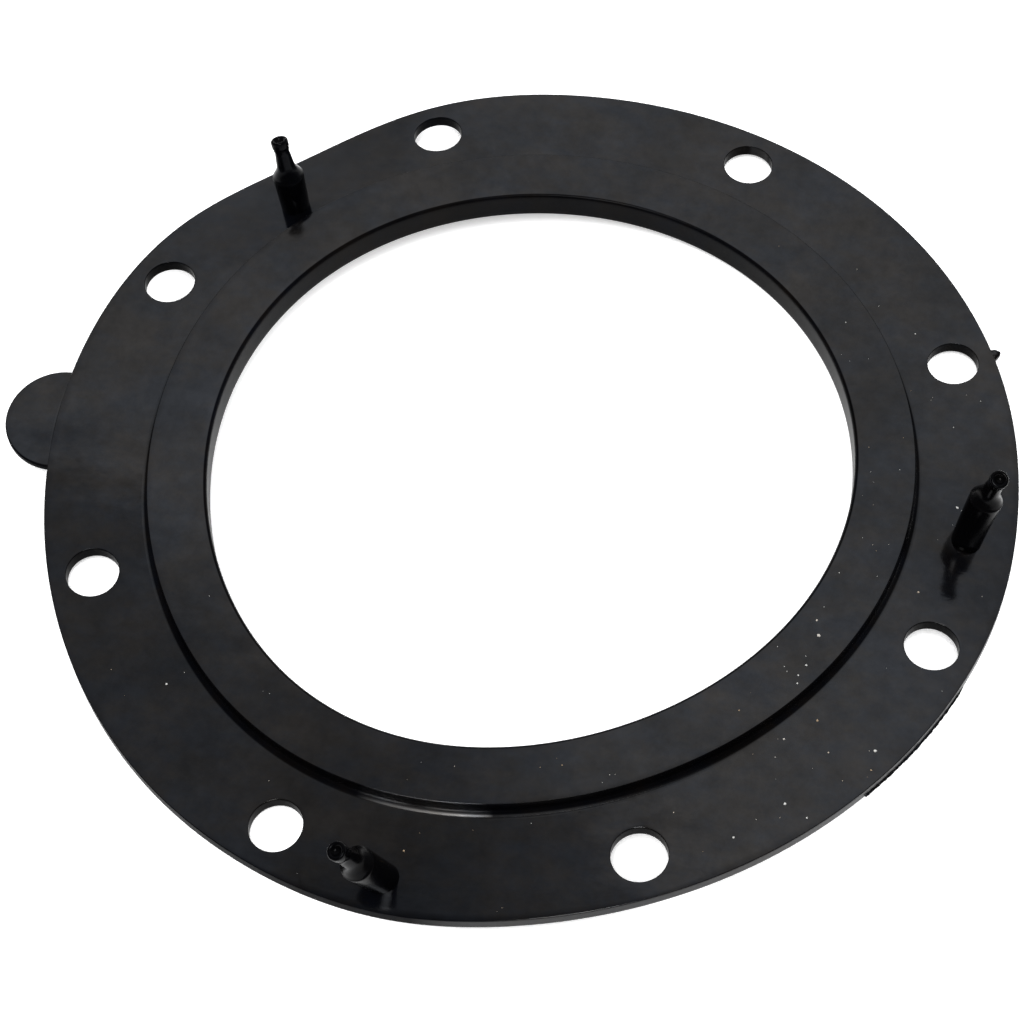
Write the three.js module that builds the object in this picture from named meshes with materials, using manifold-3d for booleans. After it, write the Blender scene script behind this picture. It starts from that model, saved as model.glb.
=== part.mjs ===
// Moulded rubber flange gasket: a flat bolted web, a thicker sealing band round the bore,
// a grip tab on the rim and three stepped pull-through pegs that hold it to its flange.
// Millimetres, +Z up. The underside of the web and the band is the plane z = 0.
import * as THREE from "three";
import { mergeVertices } from "three/addons/utils/BufferGeometryUtils.js";
import Module from "manifold-3d";

// Driving dimensions
const flangeRadius = 89;
const boreRadius = 59.2;
const webThickness = 2.5;
const bandRadius = 70;
const bandHeight = 5.5;
const footFillet = 1.2;
const edgeRound = 0.4;
const clearance = 0.3;

const boltCount = 8;
const boltCircleRadius = 81.2;
const boltHoleRadius = 4.75;
const firstBoltAngle = 22.5;

const tabRadius = 10.1;
const tabCentreRadius = 88.8;
const tabAngle = 179.7;
const tabThickness = 1.5;

const nubRadius = 0.9;
const nubReach = 0.8;
const nubAngle = 22.8;
const nubStretch = 1.3;

const pocketDepth = 1.5;
const pegRootRadius = 2.4;
const pegShankRadius = 2.75;
const pegShoulderRadius = 3;
const pegShoulderHeight = 10;
const pegNeckStart = 11.9;
const pegNeckFlareHeight = 2.5;
const pegNeckFlare = 0.35;
const pegNeckTaper = 0.1;
const pegNeckRadius = 1.4;
const pegBeadHeight = 16.7;
const pegBeadRadius = 1.65;
const pegBeadSlope = 0.7;
const pegBeadRound = 0.8;
const pegDimpleRadius = 0.7;
const pegDimpleDepth = 0.7;
const pegDimpleSlope = 0.15;
const pegHeight = 18.5;
const pegBend = 1.3;

// Where each peg stands, and how far its tip has set over and in which direction
const pegs = [
  { name: "retaining_peg_1", angle: 136.3, radius: 76.8, leanAngle: 141, lean: 2.3 },
  { name: "retaining_peg_2", angle: 354.5, radius: 80.4, leanAngle: 16, lean: 3.5 },
  { name: "retaining_peg_3", angle: 262.4, radius: 83.2, leanAngle: 215, lean: 7.2 },
];

const rimSegments = 144;
const bandSegments = 96;
const holeSegments = 32;
const tabSegments = 64;
const pegSegments = 20;

const rubber = new THREE.MeshStandardMaterial({ color: 0x141417, roughness: 0.34, metalness: 0 });
const bandRubber = new THREE.MeshStandardMaterial({ color: 0x151416, roughness: 0.38, metalness: 0 });
const pegRubber = new THREE.MeshStandardMaterial({ color: 0x101013, roughness: 0.28, metalness: 0 });

const wasm = await Module();
wasm.setup();

function polar(radius, degrees) {
  const angle = THREE.MathUtils.degToRad(degrees);
  return new THREE.Vector2(radius * Math.cos(angle), radius * Math.sin(angle));
}

function circlePoints(radius, segments, centre = new THREE.Vector2()) {
  const points = [];
  for (let i = 0; i < segments; i++) {
    points.push(polar(radius, (i * 360) / segments).add(centre));
  }
  return points;
}

function arcPoints(centreX, centreY, radius, fromDegrees, toDegrees, steps) {
  const points = [];
  for (let i = 0; i <= steps; i++) {
    const degrees = fromDegrees + ((toDegrees - fromDegrees) * i) / steps;
    points.push(polar(radius, degrees).add(new THREE.Vector2(centreX, centreY)));
  }
  return points;
}

function toSolid(geometry) {
  const bare = geometry.clone();
  bare.deleteAttribute("normal");
  bare.deleteAttribute("uv");
  const merged = mergeVertices(bare, 1e-4);
  const vertProperties = new Float32Array(merged.attributes.position.array);
  const triVerts = new Uint32Array(merged.index.array);
  return new wasm.Manifold(new wasm.Mesh({ numProp: 3, vertProperties, triVerts }));
}

function toGeometry(solid) {
  const mesh = solid.getMesh();
  const geometry = new THREE.BufferGeometry();
  geometry.setAttribute("position", new THREE.BufferAttribute(mesh.vertProperties, 3));
  geometry.setIndex(new THREE.BufferAttribute(mesh.triVerts, 1));
  geometry.computeVertexNormals();
  return geometry;
}

function disc(radius, height, segments, centre, baseZ = 0) {
  const shape = new THREE.Shape(circlePoints(radius, segments, centre));
  const geometry = new THREE.ExtrudeGeometry(shape, { depth: height, bevelEnabled: false });
  return geometry.translate(0, 0, baseZ);
}

// Flat bolted web: an outer ring with the bolt holes, a blind pocket for each peg root
// and the small nub that the mould's feed gate left on the rim.
function flangeWeb() {
  const outline = new THREE.Shape(circlePoints(flangeRadius, rimSegments));
  outline.holes.push(new THREE.Path(circlePoints(bandRadius + clearance, bandSegments).reverse()));
  for (let i = 0; i < boltCount; i++) {
    const centre = polar(boltCircleRadius, firstBoltAngle + (i * 360) / boltCount);
    outline.holes.push(new THREE.Path(circlePoints(boltHoleRadius, holeSegments, centre).reverse()));
  }
  const plate = new THREE.ExtrudeGeometry(outline, { depth: webThickness, bevelEnabled: false });
  let solid = toSolid(plate);
  for (const peg of pegs) {
    const centre = polar(peg.radius, peg.angle);
    const pocketRadius = pegRootRadius + clearance;
    const pocket = disc(pocketRadius, pocketDepth + 1, pegSegments, centre, webThickness - pocketDepth);
    solid = solid.subtract(toSolid(pocket));
  }
  return toGeometry(solid.add(toSolid(gateNub())));
}

function gateNub() {
  const nub = new THREE.SphereGeometry(nubRadius, holeSegments / 2, holeSegments / 4);
  const place = polar(flangeRadius + nubReach, nubAngle);
  nub.scale(1, nubStretch, 1);
  nub.rotateZ(THREE.MathUtils.degToRad(nubAngle));
  return nub.translate(place.x, place.y, webThickness / 2);
}

// Sealing band: a full-height ring round the bore, with rounded edges and a concave
// foot that lies just over the web.
function sealingBand() {
  const lip = webThickness + clearance;
  const points = [
    ...arcPoints(boreRadius + edgeRound, bandHeight - edgeRound, edgeRound, 180, 90, 2),
    ...arcPoints(bandRadius - edgeRound, bandHeight - edgeRound, edgeRound, 90, 0, 2),
    ...arcPoints(bandRadius + footFillet, lip + footFillet, footFillet, 180, 262, 4),
    new THREE.Vector2(bandRadius + footFillet, lip),
    new THREE.Vector2(bandRadius, lip),
    new THREE.Vector2(bandRadius, 0),
    new THREE.Vector2(boreRadius, 0),
  ];
  points.push(points[0].clone());
  return lathe(points.reverse(), bandSegments);
}

// A lathe turned from its own Y axis to +Z
function lathe(points, segments) {
  return new THREE.LatheGeometry(points, segments).rotateX(Math.PI / 2);
}

// Grip tab: a thin round lobe under the rim, level with the underside
function gripTab() {
  const lobe = toSolid(disc(tabRadius, tabThickness, tabSegments, polar(tabCentreRadius, tabAngle)));
  const rim = toSolid(disc(flangeRadius + clearance, tabThickness + 2, rimSegments, undefined, -1));
  return toGeometry(lobe.subtract(rim));
}

// Stepped pull-through peg: root in the web's pocket, shank, sloping shoulder, thin neck
// and a rounded bead with a dimple in its end. Heights count from the top of the web.
function retainingPeg(peg) {
  const profile = [
    [0, clearance - pocketDepth],
    [pegRootRadius, clearance - pocketDepth],
    [pegRootRadius, clearance],
    [pegShankRadius, clearance],
    [(pegShankRadius + pegShoulderRadius) / 2, pegShoulderHeight / 2],
    [pegShoulderRadius, pegShoulderHeight],
    [pegNeckRadius + pegNeckFlare, pegNeckStart],
    [pegNeckRadius + pegNeckTaper, pegNeckStart + pegNeckFlareHeight],
    [pegNeckRadius, pegBeadHeight - pegBeadSlope],
    [pegBeadRadius, pegBeadHeight],
    [pegBeadRadius, pegHeight - pegBeadRound],
    [(pegBeadRadius + pegDimpleRadius) / 2, pegHeight],
    [pegDimpleRadius, pegHeight],
    [pegDimpleRadius - pegDimpleSlope, pegHeight - pegDimpleDepth],
    [0, pegHeight - pegDimpleDepth],
  ];
  const geometry = lathe(profile.map(([r, z]) => new THREE.Vector2(r, z)), pegSegments);
  return leanOver(geometry, peg);
}

// Bends a peg about its foot, more and more towards its tip
function leanOver(geometry, peg) {
  const position = geometry.attributes.position;
  const tip = polar(peg.lean, peg.leanAngle);
  for (let i = 0; i < position.count; i++) {
    const rise = Math.max(position.getZ(i) - clearance, 0) / pegHeight;
    const bend = Math.pow(rise, pegBend);
    position.setX(i, position.getX(i) + tip.x * bend);
    position.setY(i, position.getY(i) + tip.y * bend);
  }
  return geometry;
}

function addPart(group, name, geometry, material) {
  const mesh = new THREE.Mesh(geometry, material);
  mesh.name = name;
  group.add(mesh);
  return mesh;
}

const gasket = new THREE.Group();
addPart(gasket, "flange_web", flangeWeb(), rubber);
addPart(gasket, "sealing_band", sealingBand(), bandRubber);
addPart(gasket, "grip_tab", gripTab(), rubber);
for (const peg of pegs) {
  const mesh = addPart(gasket, peg.name, retainingPeg(peg), pegRubber);
  const foot = polar(peg.radius, peg.angle);
  mesh.position.set(foot.x, foot.y, webThickness);
}

// The origin is the middle of the whole gasket's box, so the bore stands off it by half
// of what the tab adds on the -X side.
const tabReach = tabRadius - polar(tabCentreRadius, tabAngle).x;
gasket.position.x = (tabReach - flangeRadius) / 2;

export default gasket;
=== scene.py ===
import math
import random

import bmesh
import bpy
import numpy as np
from mathutils import Matrix, Vector


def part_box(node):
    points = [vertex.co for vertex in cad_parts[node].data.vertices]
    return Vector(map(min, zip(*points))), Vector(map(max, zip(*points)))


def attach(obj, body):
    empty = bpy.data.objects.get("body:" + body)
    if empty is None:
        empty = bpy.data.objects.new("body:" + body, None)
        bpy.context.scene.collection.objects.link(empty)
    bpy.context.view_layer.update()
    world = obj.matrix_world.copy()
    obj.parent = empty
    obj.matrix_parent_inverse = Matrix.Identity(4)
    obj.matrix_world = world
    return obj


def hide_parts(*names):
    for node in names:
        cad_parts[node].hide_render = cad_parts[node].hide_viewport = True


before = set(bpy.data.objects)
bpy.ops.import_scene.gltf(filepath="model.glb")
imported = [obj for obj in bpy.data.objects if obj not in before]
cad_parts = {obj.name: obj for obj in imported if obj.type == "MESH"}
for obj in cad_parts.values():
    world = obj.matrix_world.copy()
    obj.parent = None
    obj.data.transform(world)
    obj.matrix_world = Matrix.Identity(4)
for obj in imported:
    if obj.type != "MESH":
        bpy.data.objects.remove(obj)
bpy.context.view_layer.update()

mm = 0.001
weldDistance = 0.002 * mm  # points closer than this become one

# Main sizes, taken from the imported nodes
webLow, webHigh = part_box("flange_web")
bandLow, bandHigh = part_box("sealing_band")
boreX = (bandLow[0] + bandHigh[0]) / 2
flangeRadius = (webHigh[1] - webLow[1]) / 2
webThickness = webHigh[2]
bandHeight = bandHigh[2]
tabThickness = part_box("grip_tab")[1][2]
print("frame read: flange", round(2 * flangeRadius / mm, 1), "mm across")


# How the soft gasket lies. Off its flange it is a shallow saddle, a little out of round, and its
# web droops where the pegs were pressed down. A wave is its lobes round the ring, its size, and
# the angle of one lobe.
layOut = {
    "lift": [(2, 2.38 * mm, -45)],
    "roll": [(2, 0.0165, 1), (3, 0.0078, 31)],  # rise per metre of radius
    "rollRadius": 73.9 * mm,
    "stretch": [(2, 1.6 * mm, 59), (3, 0.34 * mm, 39), (4, 0.32 * mm, -27)],
    "slip": [(2, 0.96 * mm, 19), (3, 0.41 * mm, -17.5)],
    # where round the ring, how far down at the rim, how many degrees wide
    "droop": [(131.4, 5.25 * mm, 16.6), (355, 3.1 * mm, 14), (262, 1.7 * mm, 14)],
    "droopStart": 70 * mm,
    "droopCurve": 1.2,
    "droopMost": 2,  # it stops growing at this many times the width of the web
    "rimSamples": 721,  # places round the rim where its height is looked up
}


def waveSum(waves, angle):
    return sum(size * np.cos(lobes * (angle - math.radians(at))) for lobes, size, at in waves)


def slipSum(waves, angle):  # the sideways slip that goes with a stretch
    return sum(-size / lobes * np.sin(lobes * (angle - math.radians(at))) for lobes, size, at in waves)


def droop(radius, angle):
    start = layOut["droopStart"]
    out = np.clip((radius - start) / (flangeRadius - start), 0, layOut["droopMost"])
    total = 0
    for at, depth, wide in layOut["droop"]:
        away = (angle - math.radians(at) + math.pi) % (2 * math.pi) - math.pi
        total = total + depth * np.exp(-(away / math.radians(wide)) ** 2)
    return total * out ** layOut["droopCurve"]


def lift(radius, angle):
    roll = (radius - layOut["rollRadius"]) * waveSum(layOut["roll"], angle)
    return waveSum(layOut["lift"], angle) + roll - droop(radius, angle)


# The lowest edge touches the floor
restHeight = -lift(flangeRadius, np.linspace(0, 2 * math.pi, layOut["rimSamples"])).min()


def lieDown(points):  # from the flat gasket round its bore axis to how it lies
    points = np.asarray(points, float)
    radius = np.hypot(points[:, 0], points[:, 1])
    angle = np.arctan2(points[:, 1], points[:, 0])
    newRadius = radius + waveSum(layOut["stretch"], angle)
    sideways = slipSum(layOut["stretch"], angle) + waveSum(layOut["slip"], angle)
    newAngle = angle + sideways / radius
    x, y = boreX + newRadius * np.cos(newAngle), newRadius * np.sin(newAngle)
    return np.stack([x, y, points[:, 2] + lift(radius, angle) + restHeight], axis=1)


def polar(radius, degrees):
    angle = math.radians(degrees)
    return Vector((radius * math.cos(angle), radius * math.sin(angle)))


# Mesh tools

def addObject(name, data):
    thing = bpy.data.objects.new(name, data)
    bpy.context.scene.collection.objects.link(thing)
    return thing


def makePiece(name, points, faces, material, stands=()):
    mesh = bpy.data.meshes.new(name)
    mesh.from_pydata([tuple(p) for p in points], [], faces)
    work = bmesh.new()
    work.from_mesh(mesh)
    bmesh.ops.remove_doubles(work, verts=work.verts, dist=weldDistance)
    bmesh.ops.recalc_face_normals(work, faces=work.faces)
    work.to_mesh(mesh)
    work.free()
    mesh.polygons.foreach_set("use_smooth", [True] * len(mesh.polygons))
    mesh.materials.append(material)
    piece = addObject(name, mesh)
    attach(piece, "root")
    if stands:
        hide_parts(*stands)


def gridFaces(rows, columns, wrap=False):  # quads of a grid of points stored row by row
    faces = []
    across = columns if wrap else columns - 1
    for i in range(rows - 1):
        for j in range(across):
            a = i * columns + j
            b = i * columns + (j + 1) % columns
            faces.append((a, b, b + columns, a + columns))
    return faces


def arc(centreX, centreZ, radius, start, end, steps):
    angles = [math.radians(start + (end - start) * i / steps) for i in range(steps + 1)]
    return [(centreX + radius * math.cos(a), centreZ + radius * math.sin(a)) for a in angles]


def straight(start, end, steps):  # points between two ends, without the ends
    return [tuple(s + (e - s) * i / steps for s, e in zip(start, end)) for i in range(1, steps)]


def turn(profile, segments, closed):  # a lathe round Z, from (radius, height) points
    points = []
    for radius, height in profile:
        for k in range(segments):
            angle = 2 * math.pi * k / segments
            points.append((radius * math.cos(angle), radius * math.sin(angle), height))
    faces = gridFaces(len(profile), segments, wrap=True)
    if closed:
        last = (len(profile) - 1) * segments
        faces += [(last + k, last + (k + 1) % segments, (k + 1) % segments, k) for k in range(segments)]
    return points, faces


# Rubber

rubberLook = {
    # "wallFrom" is how level a face is where it starts to look like a wall, and where it does fully
    "web": {"shine": 0.61, "paintedWallShine": 0.08, "wallRough": 0.3, "wallFrom": (0.955, 0.85),
            "rough": (0.09, 0.17), "bloom": 1.0,
            "leftShadeTo": 0.52, "leftShadeEdge": (126 * mm, 110 * mm)},
    "band": {"shine": 0.59, "paintedWallShine": 0.03, "wallRough": 0.32, "wallFrom": (0.992, 0.95),
             "rough": (0.1, 0.19), "bloom": 1.0,
             "leftShadeTo": 0.58, "leftShadeEdge": (116 * mm, 86 * mm)},
    "peg": {"shine": 0.05, "paintedWallShine": 0.05, "wallRough": 0.22, "wallFrom": (0.75, 0.45),
            "rough": (0.2, 0.28), "bloom": 0.3},
    "bare": (0.0006, 0.0006, 0.0008),  # rubber with no bloom on it
    "warmBloom": (0.0031, 0.0024, 0.0021),
    "coolBloom": (0.0016, 0.0019, 0.0031),
    "warmGloss": (1.05, 1.0, 0.95),
    "coolGloss": (0.94, 0.985, 1.06),
    # noises: scale per metre, detail, roughness, and how much they are squeezed along each axis
    "bloomNoise": (70.0, 6, 0.66),
    "hueNoise": (55.0, 7, 0.76, (1, 1.7, 1)),
    "flowNoise": (60.0, 4, 0.65, (1, 2.2, 1)),
    "mottleNoise": (300.0, 4, 0.75),
    "grainNoise": (1800.0, 2),  # fine skin of the moulding
    "noiseTurn": 35,  # degrees that the squeezed noises are turned
    "noiseRange": (0.3, 0.7),  # where most of a noise lies
    "hueRange": (0.4, 0.6),
    "bloomRange": (0.32, 0.62),
    "bloomLeast": 0.15,
    "bloomGloss": (0.86, 1.14),  # least and most that a patch changes the gloss
    "mottleGloss": (0.84, 1.16),
    "grainBump": (0.2, 0.02 * mm),  # strength, depth
    "flowBump": (0.3, 0.16 * mm),
    # places on the gasket are measured from the bore axis
    "leftShadeAt": (-75 * mm, -130 * mm, 5 * mm),  # painted shade: the gloss falls off towards the near left of the ring, round this place
    "leftShadeRagged": 9 * mm,
    # painted shade: the gloss is also turned down round the front of the ring
    "frontShadeAt": (-8 * mm, -82 * mm, 5 * mm),
    "frontShadeOut": 42 * mm,
    "frontShadeTo": 0.68,
    "shadedAt": (-75 * mm, -75 * mm, 0),  # painted shade: the rim wall's gloss is turned down round here so it reads dark
    "shadedEdge": (80 * mm, 70 * mm),
    "shadedTo": 0.1,
    "highlightAt": (-7.5 * mm, -70.5 * mm, 3 * mm),  # painted highlight: a stretch of the foot of the band gets extra gloss, where the front lamp's reflection then shows
    "highlightEdge": (12 * mm, 7 * mm),
    "highlightShine": 1.3,
    "holeOuter": 87.3 * mm,  # walls within this radius are the bolt holes', their gloss nearly off as painted shade
    "holeEdge": 0.3 * mm,
    "holeShadeShine": 0.015,
}


def newMaterial(name):
    material = bpy.data.materials.new(name)
    material.use_nodes = True
    tree = material.node_tree
    coords = tree.nodes.new("ShaderNodeTexCoord").outputs["Object"]
    return material, tree, tree.nodes["Principled BSDF"], coords


def noiseNode(tree, coords, scale, detail=3.0, rough=0.55, squeeze=None):
    noise = tree.nodes.new("ShaderNodeTexNoise")
    noise.inputs["Scale"].default_value = scale
    noise.inputs["Detail"].default_value = detail
    noise.inputs["Roughness"].default_value = rough
    if squeeze:
        mapping = tree.nodes.new("ShaderNodeMapping")
        mapping.inputs["Scale"].default_value = squeeze
        mapping.inputs["Rotation"].default_value = (0, 0, math.radians(rubberLook["noiseTurn"]))
        tree.links.new(coords, mapping.inputs["Vector"])
        coords = mapping.outputs["Vector"]
    tree.links.new(coords, noise.inputs["Vector"])
    return noise.outputs["Fac"]


def spread(tree, value, fromLow, fromHigh, toLow, toHigh):
    node = tree.nodes.new("ShaderNodeMapRange")
    tree.links.new(value, node.inputs["Value"])
    names = ("From Min", "From Max", "To Min", "To Max")
    for name, number in zip(names, (fromLow, fromHigh, toLow, toHigh)):
        node.inputs[name].default_value = number
    return node.outputs["Result"]


def blendColor(tree, factor, first, second):
    node = tree.nodes.new("ShaderNodeMix")
    node.data_type = "RGBA"
    tree.links.new(factor, node.inputs["Factor"])
    for socket, value in ((node.inputs["A"], first), (node.inputs["B"], second)):
        if isinstance(value, tuple):
            socket.default_value = (*value, 1)
        else:
            tree.links.new(value, socket)
    return node.outputs["Result"]


def mathNode(tree, kind, first, second):
    node = tree.nodes.new("ShaderNodeMath")
    node.operation = kind
    for socket, value in zip(node.inputs, (first, second)):
        if isinstance(value, (int, float)):
            socket.default_value = value
        else:
            tree.links.new(value, socket)
    return node.outputs["Value"]


def blendValue(tree, factor, first, second):
    firstPart = mathNode(tree, "MULTIPLY", mathNode(tree, "SUBTRACT", 1.0, factor), first)
    secondPart = mathNode(tree, "MULTIPLY", factor, second)
    return mathNode(tree, "ADD", firstPart, secondPart)


def bumpNode(tree, height, strength, depth):
    node = tree.nodes.new("ShaderNodeBump")
    node.inputs["Strength"].default_value = strength
    node.inputs["Distance"].default_value = depth
    tree.links.new(height, node.inputs["Height"])
    return node


def distanceFrom(tree, coords, spot):  # how far the surface is from a place measured from the bore axis
    node = tree.nodes.new("ShaderNodeVectorMath")
    node.operation = "DISTANCE"
    tree.links.new(coords, node.inputs[0])
    node.inputs[1].default_value = (spot[0] + boreX, spot[1], spot[2])
    return node.outputs["Value"]


def makeRubber(name, kind):
    look = rubberLook[kind]
    middle = rubberLook["noiseRange"]
    material, tree, shader, coords = newMaterial(name)

    # patches of bloom, a little brown in places and blue in others
    bloom = noiseNode(tree, coords, *rubberLook["bloomNoise"])
    hue = noiseNode(tree, coords, *rubberLook["hueNoise"])
    warm = spread(tree, hue, *rubberLook["hueRange"], 0, 1)
    tint = blendColor(tree, warm, rubberLook["coolBloom"], rubberLook["warmBloom"])
    least = rubberLook["bloomLeast"] * look["bloom"]
    amount = spread(tree, bloom, *rubberLook["bloomRange"], least, look["bloom"])
    tree.links.new(blendColor(tree, amount, rubberLook["bare"], tint), shader.inputs["Base Color"])
    gloss = blendColor(tree, warm, rubberLook["coolGloss"], rubberLook["warmGloss"])
    tree.links.new(gloss, shader.inputs["Specular Tint"])

    # painted shade: upright faces get a much lower gloss than level ones, so walls, fillets and edge
    # roundings read dark
    upright = tree.nodes.new("ShaderNodeSeparateXYZ")
    tree.links.new(tree.nodes.new("ShaderNodeNewGeometry").outputs["Normal"], upright.inputs["Vector"])
    wall = spread(tree, mathNode(tree, "ABSOLUTE", upright.outputs["Z"], 0), *look["wallFrom"], 0, 1)
    paintedWallShine = look["paintedWallShine"]

    # flow of the rubber in the mould, seen as a change of gloss
    flow = noiseNode(tree, coords, *rubberLook["flowNoise"])
    rough = spread(tree, flow, *middle, *look["rough"])
    tree.links.new(blendValue(tree, wall, rough, look["wallRough"]), shader.inputs["Roughness"])
    mottle = noiseNode(tree, coords, *rubberLook["mottleNoise"])
    patchy = mathNode(tree, "MULTIPLY", spread(tree, bloom, *middle, *rubberLook["bloomGloss"]),
                      spread(tree, mottle, *middle, *rubberLook["mottleGloss"]))
    shine = mathNode(tree, "MULTIPLY", patchy, look["shine"])

    # painted shade on the near side of the ring, on the rim wall and in the bolt holes, and a painted
    # highlight on the foot of the band
    if kind != "peg":
        shift = spread(tree, flow, *middle, -rubberLook["leftShadeRagged"], rubberLook["leftShadeRagged"])
        ragged = mathNode(tree, "ADD", distanceFrom(tree, coords, rubberLook["leftShadeAt"]), shift)
        left = spread(tree, ragged, *look["leftShadeEdge"], 1, look["leftShadeTo"])
        # painted shade round the front of the ring
        frontShadeDistance = distanceFrom(tree, coords, rubberLook["frontShadeAt"])
        kept = spread(tree, frontShadeDistance, rubberLook["frontShadeOut"], 0, 1, rubberLook["frontShadeTo"])
        shine = mathNode(tree, "MULTIPLY", shine, mathNode(tree, "MULTIPLY", left, kept))
    if kind == "band":
        # painted highlight on one stretch of the foot of the band
        highlightDistance = distanceFrom(tree, coords, rubberLook["highlightAt"])
        edge, most = rubberLook["highlightEdge"], rubberLook["highlightShine"]
        paintedWallShine = spread(tree, highlightDistance, *edge, paintedWallShine, most)
    if kind == "web":
        # painted shade: the walls of the bolt holes keep almost no gloss
        fromAxis = distanceFrom(tree, coords, (0, 0, restHeight))
        outer = rubberLook["holeOuter"]
        holeShadeMask = spread(tree, fromAxis, outer + rubberLook["holeEdge"], outer, 0, 1)
        # painted shade: the rim wall keeps little gloss near the front left
        shaded = distanceFrom(tree, coords, rubberLook["shadedAt"])
        rimShadeShine = rubberLook["shadedTo"] * paintedWallShine
        rimShine = spread(tree, shaded, *rubberLook["shadedEdge"], paintedWallShine, rimShadeShine)
        paintedWallShine = blendValue(tree, holeShadeMask, rimShine, rubberLook["holeShadeShine"])
    tree.links.new(blendValue(tree, wall, shine, paintedWallShine), shader.inputs["Specular IOR Level"])

    skin = bumpNode(tree, noiseNode(tree, coords, *rubberLook["grainNoise"]), *rubberLook["grainBump"])
    waves = bumpNode(tree, flow, *rubberLook["flowBump"])
    tree.links.new(skin.outputs["Normal"], waves.inputs["Normal"])
    tree.links.new(waves.outputs["Normal"], shader.inputs["Normal"])
    return material


webRubber = makeRubber("webRubber", "web")
bandRubber = makeRubber("bandRubber", "band")
pegRubber = makeRubber("pegRubber", "peg")
print("rubbers mixed")


# Flange web

web = {
    "boltCount": 8,
    "boltCircle": 81.2 * mm,
    "boltHole": 4.75 * mm,
    "firstBolt": 22.5,
    "edge": 0.14 * mm,  # rounding of the moulded edges
    "underBand": 70.02 * mm,  # the web runs in under the foot of the band
    "patchHalf": 6.4,  # degrees of web each side of a bolt hole that are meshed round it
    "patchSteps": 16,
    "plainSteps": 28,
    "radialSteps": 16,
    "ringSteps": 7,
    "ringCrowding": 1.4,  # above 1, the rings of mesh are closer together near the hole
    "cornerSteps": 4,
    "wallSteps": 5,
}


def edgeWall(loop, outward):  # rounded top edge, wall, rounded bottom edge
    edge, steps = web["edge"], web["cornerSteps"]
    corner = [math.radians(90 * i / steps) for i in range(steps + 1)]
    offsets = [(edge * math.sin(a), webThickness - edge * (1 - math.cos(a))) for a in corner]
    offsets += straight((edge, webThickness - edge), (edge, edge), web["wallSteps"])
    offsets += [(edge * math.cos(a), edge * (1 - math.sin(a))) for a in corner]
    points = []
    for out, z in offsets:
        points += [(p.x + n.x * out, p.y + n.y * out, z) for p, n in zip(loop, outward)]
    return points, gridFaces(len(offsets), len(loop), wrap=True)


def boltPatch(centreAngle, inner, outer):  # the web round one bolt hole: rings from hole to patch side
    half, steps, radial = web["patchHalf"], web["patchSteps"], web["radialSteps"]
    side = [(centreAngle - half + 2 * half * i / steps, inner) for i in range(steps)]
    side += [(centreAngle + half, inner + (outer - inner) * i / radial) for i in range(radial)]
    side += [(centreAngle + half - 2 * half * i / steps, outer) for i in range(steps)]
    side += [(centreAngle - half, outer + (inner - outer) * i / radial) for i in range(radial)]
    border = [polar(r, a) for a, r in side]
    centre = polar(web["boltCircle"], centreAngle)
    outward = [(p - centre).normalized() for p in border]
    hole = [centre + n * (web["boltHole"] + web["edge"]) for n in outward]
    points = []
    for j in range(web["ringSteps"] + 1):
        share = (j / web["ringSteps"]) ** web["ringCrowding"]
        points += [h.lerp(b, share) for h, b in zip(hole, border)]
    return points, gridFaces(web["ringSteps"] + 1, len(border), wrap=True), hole, [-n for n in outward]


def addSheet(points, faces, newPoints, newFaces):
    first = len(points)
    points += newPoints
    faces += [tuple(first + k for k in face) for face in newFaces]


def flangeWeb():
    inner, outer = web["underBand"] + web["edge"], flangeRadius - web["edge"]
    half, plainSteps, radialSteps = web["patchHalf"], web["plainSteps"], web["radialSteps"]
    spacing = 360 / web["boltCount"]
    width = spacing - 2 * half
    radii = [inner + (outer - inner) * i / radialSteps for i in range(radialSteps + 1)]
    points, faces, flat, flatFaces = [], [], [], []
    around = []
    for k in range(web["boltCount"]):
        at = web["firstBolt"] + k * spacing
        patch, patchFaces, hole, inward = boltPatch(at, inner, outer)
        addSheet(flat, flatFaces, patch, patchFaces)
        addSheet(points, faces, *edgeWall(hole, inward))
        plainAngles = [at + half + width * j / plainSteps for j in range(plainSteps + 1)]
        plain = [polar(radius, angle) for radius in radii for angle in plainAngles]
        addSheet(flat, flatFaces, plain, gridFaces(radialSteps + 1, plainSteps + 1))
        around += [at - half + 2 * half * i / web["patchSteps"] for i in range(web["patchSteps"])]
        around += plainAngles[:-1]
    for height in (webThickness, 0):
        addSheet(points, faces, [(p.x, p.y, height) for p in flat], flatFaces)
    outwards = [polar(1, a) for a in around]
    addSheet(points, faces, *edgeWall([n * outer for n in outwards], outwards))
    addSheet(points, faces, *edgeWall([n * inner for n in outwards], [-n for n in outwards]))
    makePiece("flangeWeb", lieDown(points), faces, webRubber, ["flange_web"])


flangeWeb()
print("flange web laid down")


# Sealing band

band = {
    "bore": 59.2 * mm,
    "outside": 70 * mm,
    "boreRound": 0.75 * mm,
    "topRound": 0.16 * mm,
    "foot": 1.2 * mm,  # concave foot that runs out on the web
    "footEnd": 268,  # degrees round its curve, where 270 is level
    "footRise": 0.006 * mm,  # how far its thin edge stands above the web
    # the thin edge, from where the curve ends: how far out, how far up
    "feather": [(0.1 * mm, 0), (0.25 * mm, -0.012 * mm), (0.4 * mm, -0.03 * mm), (0.4 * mm, -0.2 * mm)],
    "tuckOut": 0.3 * mm,  # from there on it is buried in the web
    "tuckDown": 0.4 * mm,
    "wallDown": 0.5 * mm,
    "lowBevel": 0.2 * mm,
    "lowRound": 0.3 * mm,
    "segments": 384,
}


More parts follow.
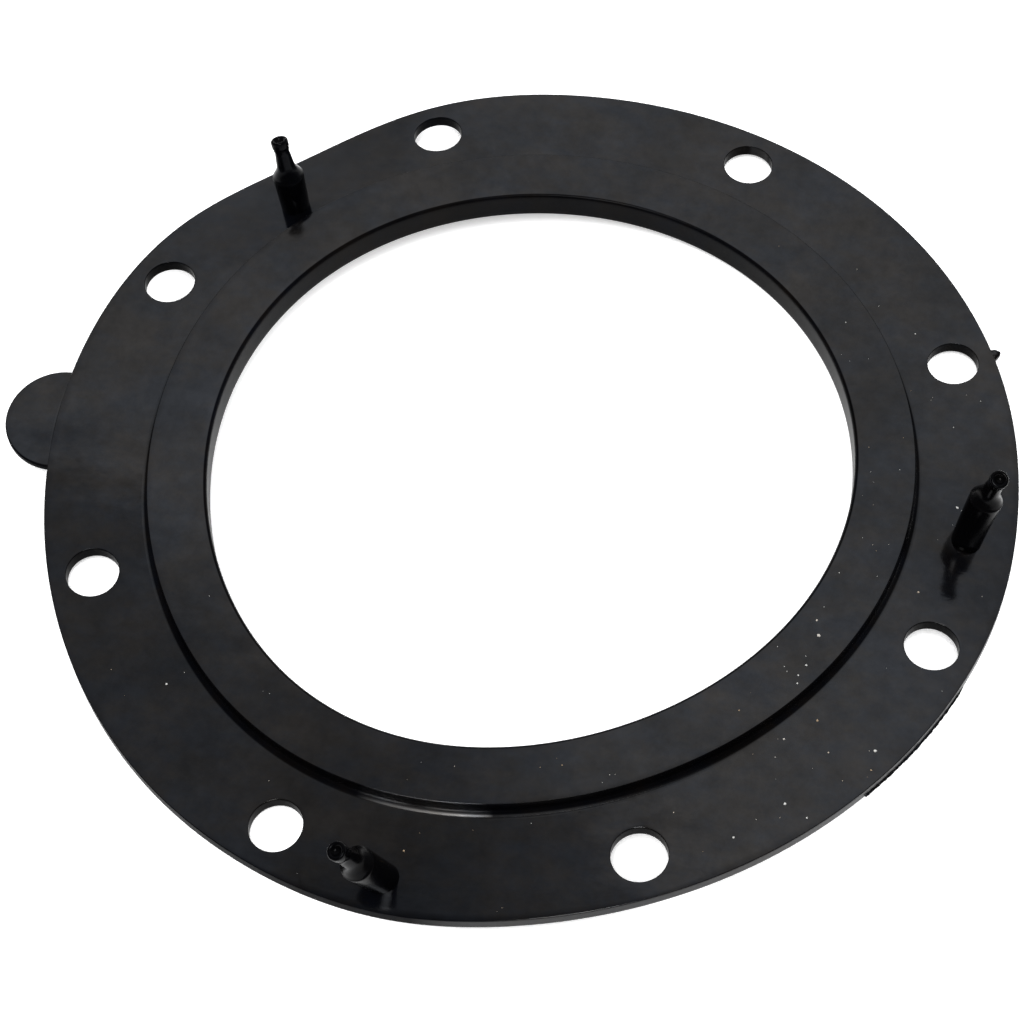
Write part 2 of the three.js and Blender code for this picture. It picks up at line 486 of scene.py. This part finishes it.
def sealingBand():
    inside, outside, foot = band["bore"], band["outside"], band["foot"]
    boreRound, topRound = band["boreRound"], band["topRound"]
    lowBevel, lowRound = band["lowBevel"], band["lowRound"]
    lip = webThickness + band["footRise"]
    profile = arc(inside + boreRound, bandHeight - boreRound, boreRound, 180, 90, steps=8)
    profile += straight(profile[-1], (outside - topRound, bandHeight), steps=10)
    profile += arc(outside - topRound, bandHeight - topRound, topRound, 90, 0, steps=5)
    profile += arc(outside + foot, lip + foot, foot, 180, band["footEnd"], steps=9)
    profile += [(outside + foot + out, lip + up) for out, up in band["feather"]]
    profile.append((outside + band["tuckOut"], lip - band["tuckDown"]))
    profile.append((outside, webThickness - band["wallDown"]))
    profile += [(outside, lowBevel), (outside - lowBevel, 0)]
    profile += straight(profile[-1], (inside + lowRound, 0), steps=8)
    profile += arc(inside + lowRound, lowRound, lowRound, 270, 180, steps=4)
    profile += straight(profile[-1], profile[0], steps=6)
    points, faces = turn(profile, band["segments"], closed=True)
    makePiece("sealingBand", lieDown(points), faces, bandRubber, ["sealing_band"])


sealingBand()
print("sealing band laid down")


# Grip tab

tab = {
    "radius": 10.1 * mm,
    "centreRadius": 88.8 * mm,
    "angle": 180.3,
    "edge": 0.35 * mm,
    "overlap": 0.25 * mm,  # how far it runs in past the rim of the web
    "steps": 56,
    "rows": 10,
    "cornerSteps": 5,
}


def gripTab():
    edge, count, steps = tab["edge"], tab["rows"], tab["steps"]
    centre = polar(tab["centreRadius"], tab["angle"])
    rim = flangeRadius - tab["overlap"]
    # degrees each side of its outermost point where the lobe meets the rim
    reach = math.degrees(math.acos((rim ** 2 - tab["centreRadius"] ** 2 - tab["radius"] ** 2)
                                   / (2 * tab["centreRadius"] * tab["radius"])))
    corner = [math.radians(90 * i / tab["cornerSteps"]) for i in range(tab["cornerSteps"] + 1)]
    # each row of the lobe: how far out from the rim, how far in from the edge, and its height
    rows = [(k / count, edge, tabThickness) for k in range(count)]
    rows += [(1, edge * (1 - math.sin(a)), tabThickness - edge * (1 - math.cos(a))) for a in corner]
    rows += [(1, edge * (1 - math.cos(a)), edge * (1 - math.sin(a))) for a in corner]
    rows += [(k / count, edge, 0) for k in range(count - 1, -1, -1)]
    points = []
    for out, back, height in rows:
        for i in range(steps + 1):
            outward = polar(1, tab["angle"] - reach + 2 * reach * i / steps)
            end = centre + outward * (tab["radius"] - back)
            place = (end.normalized() * rim).lerp(end, out)
            points.append((place.x, place.y, height))
    columns = steps + 1
    faces = gridFaces(len(rows), columns)
    last = (len(rows) - 1) * columns
    faces += [(j, j + 1, last + j + 1, last + j) for j in range(steps)]
    makePiece("gripTab", lieDown(points), faces, webRubber, ["grip_tab"])


gripTab()
print("grip tab laid down")


# Pull-through pegs

peg = {
    # node, degrees round the ring, distance out, then how far its shoulder and its tip lean
    # (outwards, round to the left)
    "places": [("retaining_peg_1", 136.3, 76.8 * mm, (-0.3 * mm, 0.7 * mm), (2.0 * mm, 0.4 * mm)),
               ("retaining_peg_2", 354.5, 80.4 * mm, (1.8 * mm, 3.1 * mm), (3.3 * mm, 1.3 * mm)),
               ("retaining_peg_3", 262.4, 83.2 * mm, (2.4 * mm, -2.8 * mm), (4.8 * mm, -5.3 * mm))],
    "root": 1.2 * mm,  # how far the shank runs down into the web
    "shank": 2.75 * mm,
    "shoulder": 3 * mm,
    "shoulderHeight": 10 * mm,
    "shoulderRound": 0.2 * mm,
    "neck": 1.4 * mm,
    "neckStart": 11.9 * mm,
    # in from the shoulder: how much wider than the neck, how far above its start
    "taper": [(0.55 * mm, -0.2 * mm), (0.4 * mm, 0.15 * mm), (0.28 * mm, 1 * mm)],
    "bead": 1.65 * mm,
    "beadHeight": 16.7 * mm,
    "beadRound": 0.45 * mm,
    # out to the bead: how much wider than the neck, how far above the bead's height
    "flare": [(0, -0.8 * mm), (0, -0.7 * mm), (0.12 * mm, -0.35 * mm)],
    "height": 18.5 * mm,
    "tipRound": 0.4 * mm,
    # dimple in the tip: how far in from the side of the bead, how far down
    "dimple": [(0.85 * mm, 0.3 * mm), (1.0 * mm, 0.6 * mm)],
    "dimpleDepth": 0.7 * mm,
    "segments": 48,
    "bendStep": 0.25 * mm,
    "leastRise": 0.2,  # however far a peg leans, its centre line still climbs
}


def pegProfile():
    shank, shoulder, neck, bead, top = (peg[k] for k in ("shank", "shoulder", "neck", "bead", "height"))
    shoulderRound, beadRound, tipRound = (peg[k] for k in ("shoulderRound", "beadRound", "tipRound"))
    rim = peg["shoulderHeight"] - shoulderRound
    taper = [(neck + out, peg["neckStart"] + up) for out, up in peg["taper"]]
    flare = [(neck + out, peg["beadHeight"] + up) for out, up in peg["flare"]]
    profile = [(0, -peg["root"]), (shank, -peg["root"]), (shank, 0)]
    profile += straight(profile[-1], (shoulder, rim), steps=12)
    profile += arc(shoulder - shoulderRound, rim, shoulderRound, 0, 60, steps=3)
    profile += straight(profile[-1], taper[0], steps=4)
    profile += taper[1:]
    profile += straight(profile[-1], flare[0], steps=6)
    profile += flare[1:]
    profile += arc(bead - beadRound, peg["beadHeight"] + beadRound, beadRound, -50, 0, steps=4)
    profile += arc(bead - tipRound, top - tipRound, tipRound, 0, 115, steps=7)
    profile += [(bead - back, top - down) for back, down in peg["dimple"]]
    profile.append((0, top - peg["dimpleDepth"]))
    return profile


def bendAxis(shoulderLean, tipLean):  # the bent centre line: a place and a direction for each step up
    shoulderLean, tipLean = np.array(shoulderLean), np.array(tipLean)
    curve = (tipLean - 2 * shoulderLean) / 2
    slope = shoulderLean - curve
    step = peg["bendStep"]
    place, axis = Vector((0, 0, 0)), []
    for i in range(int(peg["height"] / step) + 2):
        share = i * step / peg["shoulderHeight"]
        sideways = (slope + 2 * curve * share) / peg["shoulderHeight"]
        upwards = math.sqrt(max(1 - sideways @ sideways, peg["leastRise"]))
        direction = Vector((*sideways, upwards)).normalized()
        axis.append((place.copy(), direction))
        place += direction * step
    return axis, step


def retainingPeg(node, angle, radius, shoulderLean, tipLean):
    points, faces = turn(pegProfile(), peg["segments"], closed=False)
    axis, step = bendAxis(shoulderLean, tipLean)
    foot = polar(radius, angle)
    here = Vector(lieDown([(foot.x, foot.y, webThickness)])[0])
    outward = Matrix.Rotation(math.radians(angle), 3, "Z")
    bent = []
    for x, y, z in points:
        low = min(int(max(z, 0) / step), len(axis) - 1)
        place, direction = axis[low]
        place = place + direction * (z - low * step)
        side = Vector((1, 0, 0)) - direction * direction.x
        side.normalize()
        bent.append(here + outward @ (place + side * x + direction.cross(side) * y))
    makePiece("retainingPeg" + node[-1], bent, faces, pegRubber, [node])


for place in peg["places"]:
    retainingPeg(*place)
print("pegs stood up")


# Marks left by the mould: thin tongues of rubber standing out from the rim

marks = {
    "tongueRoot": 0.5 * mm,  # how far a tongue runs in past the rim
    "tongueTaper": 0.03 * mm,
    "nubStart": 20.5,  # degrees round the rim
    "nubEnd": 23.445,
    "nubReach": 1.9 * mm,
    "nubThick": 1.1 * mm,
    "nubSlope": 0.25,  # share of the reach that rises evenly; the rest is a peak
    "nubPeakAt": 0.78,
    "nubPeakWide": 0.2,
    "nubSteps": 16,
    "flashStart": 318,
    "flashEnd": 335.5,
    "flashReach": 0.32 * mm,
    "flashRagged": (0.6, 1),
    "flashFade": 12,  # how fast it dies away at its far end
    "flashLeast": 0.1,
    "flashLow": 0.1 * mm,
    "flashThick": 0.25 * mm,
    "flashSteps": 80,
    "flashSeed": 11,
}


def rimTongue(name, start, end, reach, low, high, steps):
    root, taper = flangeRadius - marks["tongueRoot"], marks["tongueTaper"]
    points = []
    for i in range(steps + 1):
        share = i / steps
        angle = start + (end - start) * share
        inner, outer = polar(root, angle), polar(flangeRadius + reach(share), angle)
        points += [(inner.x, inner.y, low), (outer.x, outer.y, low + taper),
                   (outer.x, outer.y, high - taper), (inner.x, inner.y, high)]
    faces = gridFaces(steps + 1, 4, wrap=True)
    faces += [(3, 2, 1, 0), tuple(4 * steps + k for k in range(4))]
    makePiece(name, lieDown(points), faces, webRubber)


def gateNub():
    high = (webThickness + marks["nubThick"]) / 2

    def reach(share):
        peak = math.exp(-((share - marks["nubPeakAt"]) / marks["nubPeakWide"]) ** 2)
        return marks["nubReach"] * (marks["nubSlope"] * share + (1 - marks["nubSlope"]) * peak)

    rimTongue("gateNub", marks["nubStart"], marks["nubEnd"], reach, high - marks["nubThick"], high,
              marks["nubSteps"])


def mouldFlash():
    low, steps = marks["flashLow"], marks["flashSteps"]
    chance = random.Random(marks["flashSeed"])
    ragged = [chance.uniform(*marks["flashRagged"]) for _ in range(steps + 1)]

    def reach(share):
        fade = min(1, marks["flashFade"] * (1 - share) + marks["flashLeast"])
        return marks["flashReach"] * ragged[int(share * steps)] * fade

    rimTongue("mouldFlash", marks["flashStart"], marks["flashEnd"], reach, low,
              low + marks["flashThick"], steps)


gateNub()
mouldFlash()
print("mould marks added")


# Dust

dust = {
    # larger specks: degrees round the ring, then mm out from the bore axis, and mm wide
    "placed": [(329, 65, 0.36), (324, 67, 0.22), (322, 67.3, 0.2), (321, 68.3, 0.2), (322, 85, 0.34),
               (359, 78, 0.32), (358.6, 78.9, 0.22), (354, 78, 0.2), (344, 75, 0.26), (303, 84, 0.28),
               (264, 78, 0.22), (262, 84, 0.16), (298, 76, 0.16), (312, 66, 0.18), (29, 77, 0.16),
               (34, 65, 0.16), (318, 80, 0.2), (336, 84, 0.18), (285, 64, 0.14), (157, 76, 0.14),
               (320, 74.5, 0.26), (315, 73.5, 0.26), (310, 83, 0.3), (311, 87, 0.2), (320, 87, 0.2),
               (331, 63, 0.24), (222, 76, 0.26)],
    "fineCount": 90,
    "fineAngle": (325, 55),  # where they are thickest, and how far they spread
    "fineRadius": (61, 88),
    "fineWidth": (0.05, 0.11),
    "seed": 7,
    "boltGap": (4.5, 6 * mm),  # none lies over a bolt hole: degrees and distance from its middle
    "footGap": (69.2, 71.6),  # or on the foot of the band
    "corners": 5,
    "cornerReach": (0.7, 1.1),
    "cornerShift": 15,
    "sunk": 0.02 * mm,
    "shoulder": (0.35, 0.8),  # height and width of a speck's shoulder, as shares of its width
    "top": 0.7,
    "grey": (0.5, 0.5, 0.48),
    "brown": (0.3, 0.22, 0.14),
    "hueNoise": (90.0, 1),
    "hueRange": (0.45, 0.6),
    "rough": 0.9,
}


def isClear(angle, radius):  # True where a speck of dust can lie
    between = 360 / web["boltCount"]
    toBolt = abs((angle - web["firstBolt"] + between / 2) % between - between / 2)
    overBolt = toBolt < dust["boltGap"][0] and abs(radius * mm - web["boltCircle"]) < dust["boltGap"][1]
    onFoot = dust["footGap"][0] < radius < dust["footGap"][1]
    return not overBolt and not onFoot


def makeDust():
    material, tree, shader, coords = newMaterial("dustGrey")
    brown = spread(tree, noiseNode(tree, coords, *dust["hueNoise"]), *dust["hueRange"], 0, 1)
    tree.links.new(blendColor(tree, brown, dust["grey"], dust["brown"]), shader.inputs["Base Color"])
    shader.inputs["Roughness"].default_value = dust["rough"]
    chance = random.Random(dust["seed"])
    specks = list(dust["placed"])
    for _ in range(dust["fineCount"]):
        angle = chance.gauss(*dust["fineAngle"]) % 360
        specks.append((angle, chance.uniform(*dust["fineRadius"]), chance.uniform(*dust["fineWidth"])))
    count, shift = dust["corners"], dust["cornerShift"]
    shoulderHeight, shoulderWidth = dust["shoulder"]
    points, faces = [], []
    for angle, radius, size in specks:
        if not isClear(angle, radius):
            continue
        spot = polar(radius * mm, angle)
        top = bandHeight if radius * mm < band["outside"] else webThickness
        first, wide = len(points), size * mm
        ring = []
        for k in range(count):
            reach = wide * chance.uniform(*dust["cornerReach"])
            ring.append((reach, 360 / count * k + chance.uniform(-shift, shift)))
        for height, share in ((-dust["sunk"], 1), (shoulderHeight * wide, shoulderWidth)):
            for reach, turnTo in ring:
                corner = polar(reach * share, turnTo)
                points.append((spot.x + corner.x, spot.y + corner.y, top + height))
        points.append((spot.x, spot.y, top + dust["top"] * wide))
        low = [first + k for k in range(count)]
        high = [first + count + k for k in range(count)]
        nextLow, nextHigh = low[1:] + low[:1], high[1:] + high[:1]
        faces += list(zip(low, nextLow, nextHigh, high))
        faces += [(a, b, first + 2 * count) for a, b in zip(high, nextHigh)]
        faces.append(tuple(reversed(low)))
    makePiece("dustSpecks", lieDown(points), faces, material)


makeDust()
print("dust scattered")


# Room and camera

room = {
    "floor": ((0.90, 0.90, 0.90), (0.94, 0.94, 0.94)),  # a pale sweep with faint patches
    "floorScale": 3.0,
    "floorSize": 6.0,
    "floorRough": 0.8,
    "floorShine": 0.2,
    "floorGlow": 0.5,
    "floorDrop": 0.05 * mm,
    "skyColor": (0.94, 0.962, 1, 1),
    # height, strength
    "skyBands": [(0.0, 0.40), (0.5, 0.52), (0.74, 0.66), (0.92, 0.8), (0.985, 0.40)],
    "skySide": 0.72,  # what is left of it out to the side
    "skySideFrom": (0.16, 0.42),
    "skyFront": 0.16,  # and in front
    "skyFrontFrom": (-0.05, 0.22),
    "backdrop": 0.9,  # how bright the room looks behind the gasket
    "softBoxes": [  # where, how big, how strong, and whether the rubber mirrors it
        ("leftBox", (-1.7, 0.55, 1.25), (1.7, 1.3), 34, False),
        ("rightBox", (1.7, 0.55, 1.25), (1.7, 1.3), 34, False),
        ("frontBox", (0.02, -0.75, 1.6), (0.4, 0.7), 22, True),
    ],
}


def makeFloor():
    half = room["floorSize"] / 2
    corners = [(-half, -half, 0), (half, -half, 0), (half, half, 0), (-half, half, 0)]
    mesh = bpy.data.meshes.new("floor")
    mesh.from_pydata(corners, [], [(0, 1, 2, 3)])
    material, tree, shader, coords = newMaterial("paleFloor")
    patches = noiseNode(tree, coords, room["floorScale"])
    tree.links.new(blendColor(tree, patches, *room["floor"]), shader.inputs["Base Color"])
    shader.inputs["Roughness"].default_value = room["floorRough"]
    shader.inputs["Specular IOR Level"].default_value = room["floorShine"]
    shader.inputs["Emission Color"].default_value = (1, 1, 1, 1)
    shader.inputs["Emission Strength"].default_value = room["floorGlow"]
    mesh.materials.append(material)
    floor = addObject("floor", mesh)
    floor.location.z = -room["floorDrop"]


def makeWorld():
    world = bpy.data.worlds.new("studio")
    bpy.context.scene.world = world
    world.use_nodes = True
    tree = world.node_tree
    background = tree.nodes["Background"]
    split = tree.nodes.new("ShaderNodeSeparateXYZ")
    tree.links.new(tree.nodes.new("ShaderNodeTexCoord").outputs["Generated"], split.inputs["Vector"])
    bands = tree.nodes.new("ShaderNodeValToRGB")
    while len(bands.color_ramp.elements) < len(room["skyBands"]):
        bands.color_ramp.elements.new(0.5)
    for stop, (height, strength) in zip(bands.color_ramp.elements, room["skyBands"]):
        stop.position = height
        stop.color = (strength, strength, strength, 1)
    tree.links.new(split.outputs["Z"], bands.inputs["Fac"])
    across = mathNode(tree, "ABSOLUTE", split.outputs["X"], 0)
    side = spread(tree, across, *room["skySideFrom"], 1, room["skySide"])
    front = spread(tree, split.outputs["Y"], *room["skyFrontFrom"], room["skyFront"], 1)
    level = mathNode(tree, "MULTIPLY", mathNode(tree, "MULTIPLY", bands.outputs["Color"], side), front)
    seen = tree.nodes.new("ShaderNodeLightPath").outputs["Is Camera Ray"]
    tree.links.new(blendValue(tree, seen, level, room["backdrop"]), background.inputs["Strength"])
    background.inputs["Color"].default_value = room["skyColor"]


def areaLight(name, place, size, power, mirrored):  # a soft box aimed at the gasket
    data = bpy.data.lights.new(name, "AREA")
    data.shape = "RECTANGLE"
    data.size, data.size_y = size
    data.energy = power
    light = addObject(name, data)
    light.location = place
    light.visible_glossy = mirrored
    light.rotation_euler = (-Vector(place)).to_track_quat("-Z", "Y").to_euler()


camera = {
    "aim": (-2.03 * mm, -9.88 * mm, 0),  # from the bore axis, at the height the gasket is raised to
    "distance": 429.3 * mm,
    "azimuth": -78.95,
    "elevation": 57.37,
    "roll": -3.01,
    "lens": 83.64,
    "sensor": 36,
    "clip": (0.01, 50),
}


def makeCamera():
    data = bpy.data.cameras.new("camera")
    data.lens = camera["lens"]
    data.sensor_width = camera["sensor"]
    data.clip_start, data.clip_end = camera["clip"]
    eye = addObject("camera", data)
    level, high = math.radians(camera["azimuth"]), math.radians(camera["elevation"])
    back = Vector((math.cos(high) * math.cos(level), math.cos(high) * math.sin(level), math.sin(high)))
    eye.location = Vector(camera["aim"]) + Vector((boreX, 0, restHeight)) + back * camera["distance"]
    look = (-back).to_track_quat("-Z", "Y").to_matrix()
    eye.rotation_euler = (look @ Matrix.Rotation(math.radians(camera["roll"]), 3, "Z")).to_euler()
    bpy.context.scene.camera = eye


makeFloor()
makeWorld()
for softBox in room["softBoxes"]:
    areaLight(*softBox)
makeCamera()
bpy.context.scene.view_settings.view_transform = "Standard"
print("room and camera set")
